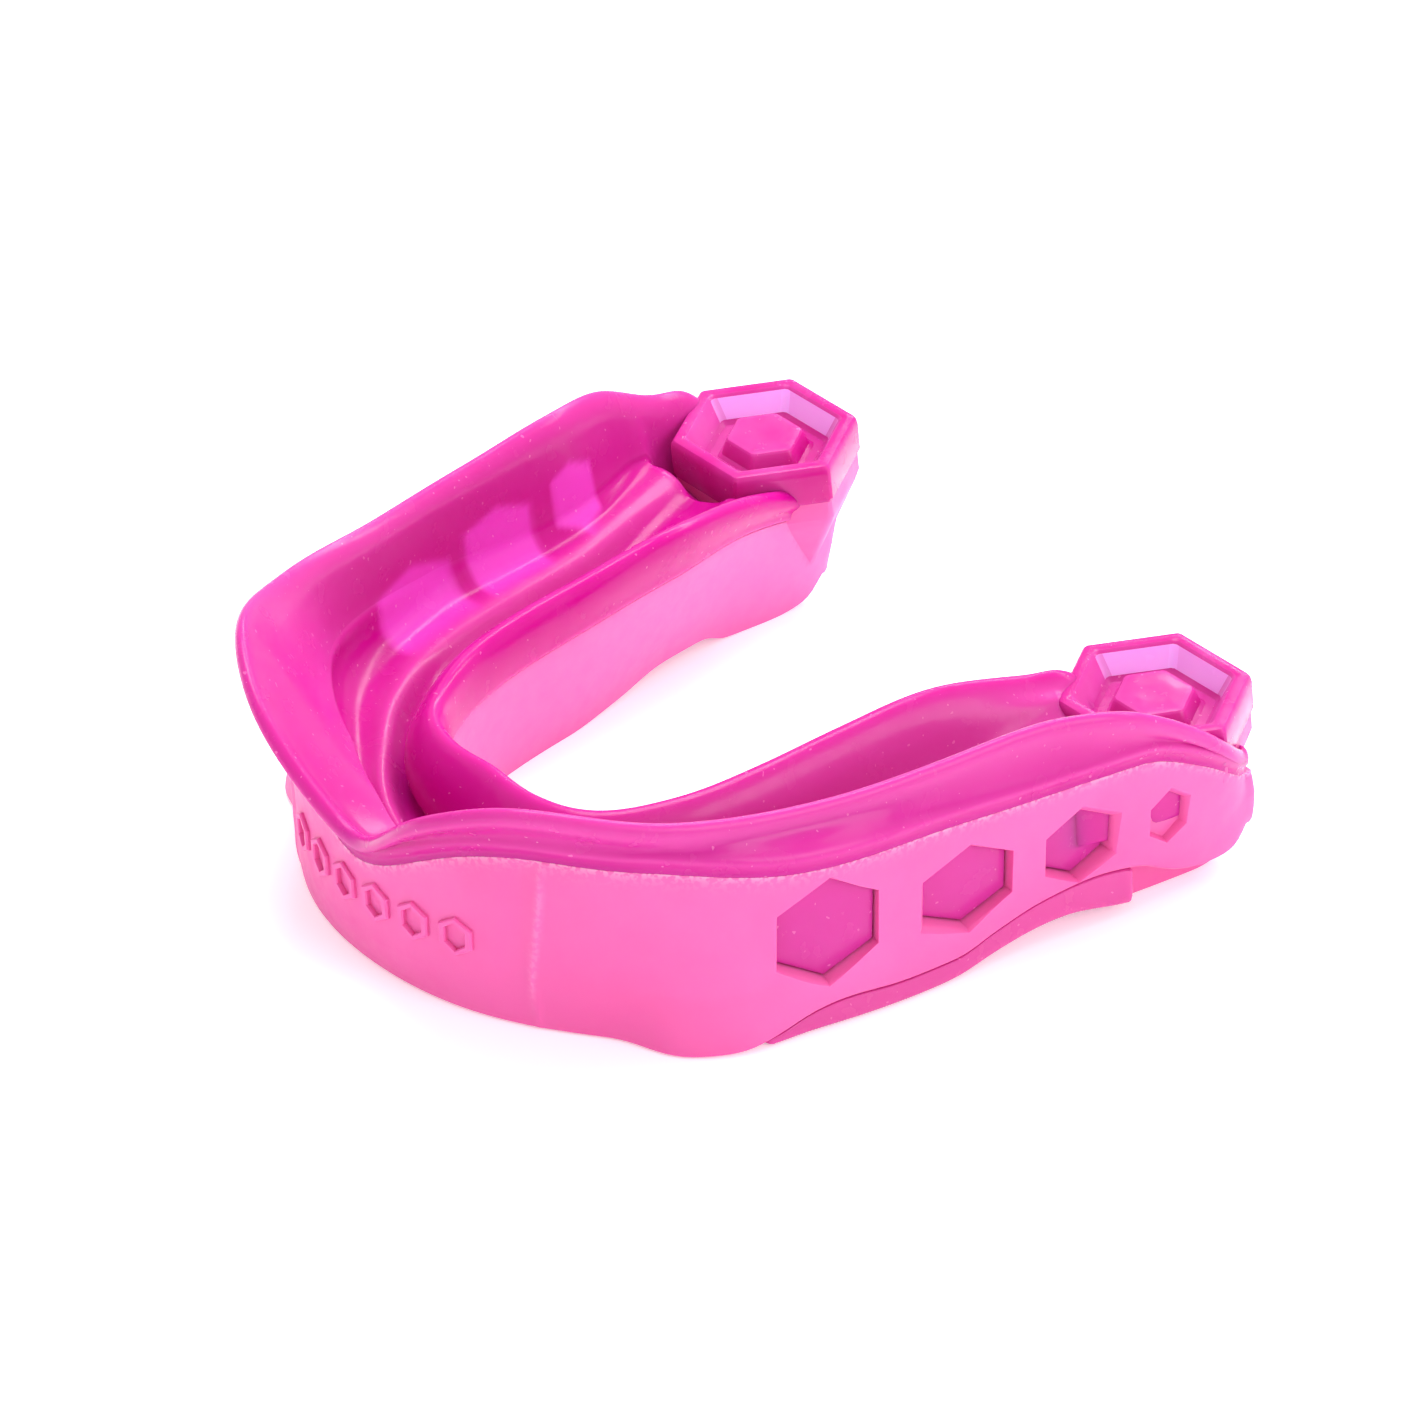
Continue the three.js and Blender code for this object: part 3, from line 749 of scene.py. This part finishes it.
class Material:
    """A small helper that adds nodes and joins them."""

    def __init__(self, name):
        self.data = bpy.data.materials.new(name)
        self.data.use_nodes = True
        self.tree = self.data.node_tree
        self.shader = self.tree.nodes["Principled BSDF"]
        self.coordinates = self.tree.nodes.new("ShaderNodeTexCoord").outputs["Object"]

    def node(self, kind):
        return self.tree.nodes.new(kind)

    def join(self, source, target):
        self.tree.links.new(source, target)

    def noise(self, scale, detail):
        node = self.node("ShaderNodeTexNoise")
        node.inputs["Scale"].default_value = scale
        node.inputs["Detail"].default_value = detail
        self.join(self.coordinates, node.inputs["Vector"])
        return node.outputs["Fac"]

    def span(self, source, low, high, out_low, out_high):
        node = self.node("ShaderNodeMapRange")
        self.join(source, node.inputs["Value"])
        for key, value in zip(("From Min", "From Max", "To Min", "To Max"), (low, high, out_low, out_high)):
            node.inputs[key].default_value = value
        return node.outputs["Result"]

    def mix(self, factor, first, second):
        node = self.node("ShaderNodeMix")
        node.data_type = "RGBA"
        sockets = [s for s in node.inputs if s.enabled]
        for socket, value in zip(sockets, (factor, first, second)):
            if isinstance(value, bpy.types.NodeSocket):
                self.join(value, socket)
            else:
                socket.default_value = value
        return [s for s in node.outputs if s.enabled][0]

    def multiply(self, first, second):
        node = self.node("ShaderNodeMath")
        node.operation = "MULTIPLY"
        self.join(first, node.inputs[0])
        self.join(second, node.inputs[1])
        return node.outputs["Value"]

    def attribute(self, name):
        node = self.node("ShaderNodeAttribute")
        node.attribute_name = name
        return node.outputs["Fac"]

    def bump(self, sources):
        """Chains bumps from (height, strength, distance) rows into the shader's normal."""
        normal = None
        for height, strength, distance in sources:
            node = self.node("ShaderNodeBump")
            node.inputs["Strength"].default_value = strength
            node.inputs["Distance"].default_value = distance
            self.join(height, node.inputs["Height"])
            if normal is not None:
                self.join(normal, node.inputs["Normal"])
            normal = node.outputs["Normal"]
        self.join(normal, self.shader.inputs["Normal"])

    def set(self, **values):
        for key, value in values.items():
            self.shader.inputs[key.replace("_", " ")].default_value = value


def frame_material():
    m = Material("frame_rubber")
    cloud = m.span(m.noise(90, 2), 0.35, 0.65, 0, 1)
    base = m.mix(cloud, srgb(220, 86, 156), srgb(224, 93, 163))
    # Glow paints light: the tongue side, the socket's inner half and the parting line are made paler.
    base = m.mix(m.attribute("glow"), base, srgb(228, 102, 170))
    # Pale specks where the tone is high: painted glints along the frame's top edge, the parting line, the
    # windows' sides and the raised rings.
    glint_specks = m.span(m.noise(2600, 1), 0.44, 0.58, 0, 0.8)
    edge = m.multiply(glint_specks, m.attribute("tone"))
    m.join(m.mix(edge, base, srgb(232, 160, 196)), m.shader.inputs["Base Color"])
    m.join(m.span(m.noise(700, 4), 0.3, 0.7, 0.42, 0.58), m.shader.inputs["Roughness"])
    m.set(Subsurface_Weight=0.35, Subsurface_Scale=0.0012, Specular_IOR_Level=0.3)
    m.shader.inputs["Subsurface Radius"].default_value = (1.0, 0.4, 0.75)
    m.bump([(m.noise(2600, 2), 0.08, 0.0001), (m.noise(320, 3), 0.12, 0.0003)])
    return m.data


def gel_material(name, deep, pale):
    m = Material(name)
    # Tone mixes the deep colour, painted shade, with the pale one, painted highlight.
    base = m.mix(m.attribute("tone"), deep, pale)
    cloud = m.span(m.noise(140, 3), 0.42, 0.7, 0, 0.1)
    base = m.mix(cloud, base, pale)
    # Glow paints the light that the windows let through the gel.
    base = m.mix(m.attribute("glow"), base, srgb(218, 66, 186))
    specks = m.span(m.noise(2400, 0), 0.815, 0.825, 0, 0.3)
    m.join(m.mix(specks, base, srgb(240, 150, 205)), m.shader.inputs["Base Color"])
    m.join(m.span(m.noise(500, 4), 0.3, 0.7, 0.16, 0.3), m.shader.inputs["Roughness"])
    m.set(
        Subsurface_Weight=0.5, Subsurface_Scale=0.0016, IOR=1.46, Specular_IOR_Level=0.2,
        Coat_Weight=0.05, Coat_Roughness=0.08,
    )
    m.shader.inputs["Subsurface Radius"].default_value = (1.0, 0.3, 0.8)
    m.bump([(m.noise(1100, 2), 0.06, 0.0001), (m.noise(180, 3), 0.16, 0.0005)])
    return m.data


def finish_piece(piece, name, material, node):
    piece.name = name
    piece.data.name = name
    piece.data.materials.clear()
    piece.data.materials.append(material)
    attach(piece, "root")
    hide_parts(node)


frame_rubber = frame_material()
liner_gel = gel_material("liner_gel", srgb(184, 0, 128), srgb(200, 72, 154))
# The pads' pale lilac colour is the painted reflection on their lit bevels.
pad_gel = gel_material("pad_gel", srgb(184, 0, 124), srgb(222, 150, 224))
strip_gel = gel_material("strip_gel", srgb(196, 60, 140), srgb(206, 84, 152))

finish_piece(build_frame(), "frame_shell", frame_rubber, "shock_frame")
finish_piece(build_liner(), "liner", liner_gel, "gel_liner")
for side, word in ((1, "left"), (-1, "right")):
    finish_piece(build_pad(side), word + "_pad", pad_gel, word + "_molar_pad")
    finish_piece(build_strip(side), word + "_strip", strip_gel, word + "_bite_strip")


# ---------------------------------------------------------------- stage, light and camera
def floor_material():
    m = Material("floor")
    m.join(m.mix(m.noise(4, 1), (0.93, 0.93, 0.93, 1), (0.94, 0.94, 0.94, 1)), m.shader.inputs["Base Color"])
    m.set(Roughness=0.6, Specular_IOR_Level=0.2, Emission_Strength=0.3)
    m.shader.inputs["Emission Color"].default_value = (1, 1, 1, 1)
    return m.data


LIGHT_AIM = Vector((0, 0, 0.008))


def area_light(name, place_m, size, power):
    light = bpy.data.lights.new(name, "AREA")
    light.shape = "RECTANGLE"
    light.size, light.size_y = size
    light.energy = power
    lamp = bpy.data.objects.new(name, light)
    bpy.context.scene.collection.objects.link(lamp)
    lamp.location = place_m
    lamp.rotation_euler = (LIGHT_AIM - Vector(place_m)).to_track_quat("-Z", "Y").to_euler()


CAMERA_DISTANCE = 0.65
AZIMUTH, ELEVATION = math.radians(51.0), math.radians(31.2)
FRAME_WIDTH = 0.1088  # what the picture spans at the aimed point


def build_stage():
    ground = new_object("floor", [(-3, -3, 0), (3, -3, 0), (3, 3, 0), (-3, 3, 0)], [(0, 1, 2, 3)])
    ground.data.materials.append(floor_material())
    world = bpy.data.worlds.new("studio")
    world.use_nodes = True
    world.node_tree.nodes["Background"].inputs["Color"].default_value = (1, 1, 1, 1)
    world.node_tree.nodes["Background"].inputs["Strength"].default_value = 0.9
    bpy.context.scene.world = world
    area_light("key", (-0.1, 0.1, 0.5), (0.3, 0.3), 2.6)
    area_light("fill", (0.55, 0.1, 0.3), (0.35, 0.3), 1.3)
    area_light("back", (-0.1, 0.45, 0.4), (0.7, 0.06), 1.6)


def build_camera():
    back = Vector((
        math.sin(AZIMUTH) * math.cos(ELEVATION), -math.cos(AZIMUTH) * math.cos(ELEVATION), math.sin(ELEVATION)
    ))
    right = Vector((math.cos(AZIMUTH), math.sin(AZIMUTH), 0))
    up = back.cross(right)
    aim = Vector((0, 0.0006, 0.009)) + right * 0.00153 + up * 0.00123
    data = bpy.data.cameras.new("camera")
    data.sensor_width = 36
    data.lens = 36 * CAMERA_DISTANCE / FRAME_WIDTH
    data.clip_start = 0.01
    camera = bpy.data.objects.new("camera", data)
    bpy.context.scene.collection.objects.link(camera)
    camera.location = aim + back * CAMERA_DISTANCE
    camera.rotation_euler = back.to_track_quat("Z", "Y").to_euler()
    bpy.context.scene.camera = camera


build_stage()
build_camera()
bpy.context.scene.view_settings.view_transform = "Standard"
